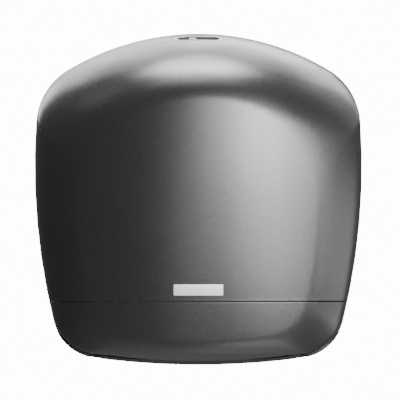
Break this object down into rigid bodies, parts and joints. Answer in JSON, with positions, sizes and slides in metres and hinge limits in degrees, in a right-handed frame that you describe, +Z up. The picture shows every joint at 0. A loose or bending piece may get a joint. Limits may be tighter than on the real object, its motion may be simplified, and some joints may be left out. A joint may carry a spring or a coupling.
{
  "type": "jumbo toilet roll dispenser",
  "caption": "Wall-mounted jumbo toilet roll dispenser: domed black cover hinged at the foot, top lock button, turning roll drum, stub roll holder and open paper outlet with tearing edges.",
  "frame": {"origin": "centre of the four wall screw holes, on the back face that lies on the wall", "axes": "+X to the right of someone facing the dispenser, +Y into the wall, +Z up"},
  "size_m": [0.3128, 0.133, 0.316],
  "materials": {
    "cover_black": "satin, fine grain",
    "black_moulding": "matt",
    "dark_moulding": "matt",
    "pale_moulding": "satin",
    "bush_plastic": "natural",
    "bezel_plastic": "satin",
    "button_plastic": "satin",
    "brake_rubber": "matt",
    "zinc_steel": "zinc plated",
    "tear_steel": "brushed",
    "screw_steel": "zinc plated",
    "spring_steel": "oiled",
    "barrel_metal": "nickel plated",
    "label_metal": "satin, bare"
  },
  "bodies": {
    "base": {"back_plate": "black_moulding", "catch_plate": "zinc_steel", "catch_screws": "screw_steel", "hinge_pins": "screw_steel", "roll_axle": "zinc_steel", "axle_screws": "screw_steel", "axle_clip": "spring_steel", "brake_pin": "screw_steel", "brake_spring": "spring_steel", "stub_axle": "zinc_steel", "stub_screws": "screw_steel", "stub_cap": "pale_moulding"},
    "cover": {"front_cover": "cover_black", "lower_cover": "cover_black", "seam_strip": "dark_moulding", "seam_screws": "screw_steel", "hinge_arms": "zinc_steel", "arm_screws": "screw_steel", "tear_edges": "tear_steel", "tear_screws": "screw_steel", "label_plate": "label_metal", "lock_bezel": "bezel_plastic", "lock_housing": "dark_moulding", "housing_screws": "screw_steel", "latch_pin": "screw_steel", "latch_spring": "spring_steel"},
    "button": {"push_button": "button_plastic"},
    "lock": {"lock_barrel": "barrel_metal", "lock_cam": "zinc_steel", "cam_screw": "screw_steel"},
    "latch": {"latch_lever": "dark_moulding"},
    "hub": {"roll_hub": "pale_moulding", "hub_bushes": "bush_plastic", "hub_cap": "pale_moulding"},
    "stub": {"stub_sleeve": "pale_moulding"},
    "brake": {"brake_lever": "dark_moulding", "brake_pad": "brake_rubber"}
  },
  "joints": [
    {"name": "cover_hinge", "type": "hinge", "parent": "base", "child": "cover", "pos_m": [0, -0.017, -0.142], "axis": [1, 0, 0], "range_deg": [0, 90]},
    {"name": "button_press", "type": "slide", "parent": "cover", "child": "button", "axis": [0, 0.2458, -0.9693], "range_m": [0, 0.003], "stiffness_N_per_m": 400},
    {"name": "lock_turn", "type": "hinge", "parent": "button", "child": "lock", "pos_m": [-0.0055, -0.06556, 0.15185], "axis": [0, -0.2458, 0.9693], "range_deg": [0, 90]},
    {"name": "latch_swing", "type": "hinge", "parent": "cover", "child": "latch", "pos_m": [0, -0.04224, 0.14125], "axis": [1, 0, 0], "range_deg": [0, 10]},
    {"name": "hub_spin", "type": "hinge", "parent": "base", "child": "hub", "pos_m": [-0.01, -0.05, 0.025], "axis": [0, 1, 0], "continuous": true},
    {"name": "stub_spin", "type": "hinge", "parent": "base", "child": "stub", "pos_m": [0.074, -0.05, -0.084], "axis": [0, 1, 0], "continuous": true},
    {"name": "brake_swing", "type": "hinge", "parent": "base", "child": "brake", "pos_m": [0.0438, -0.012, 0.049], "axis": [0, -1, 0], "range_deg": [0, 12], "stiffness_Nm_per_rad": 0.02}
  ],
  "couplings": [
    {"joint": "latch_swing", "follows": "button_press", "rad_per_m": 58.178}
  ]
}
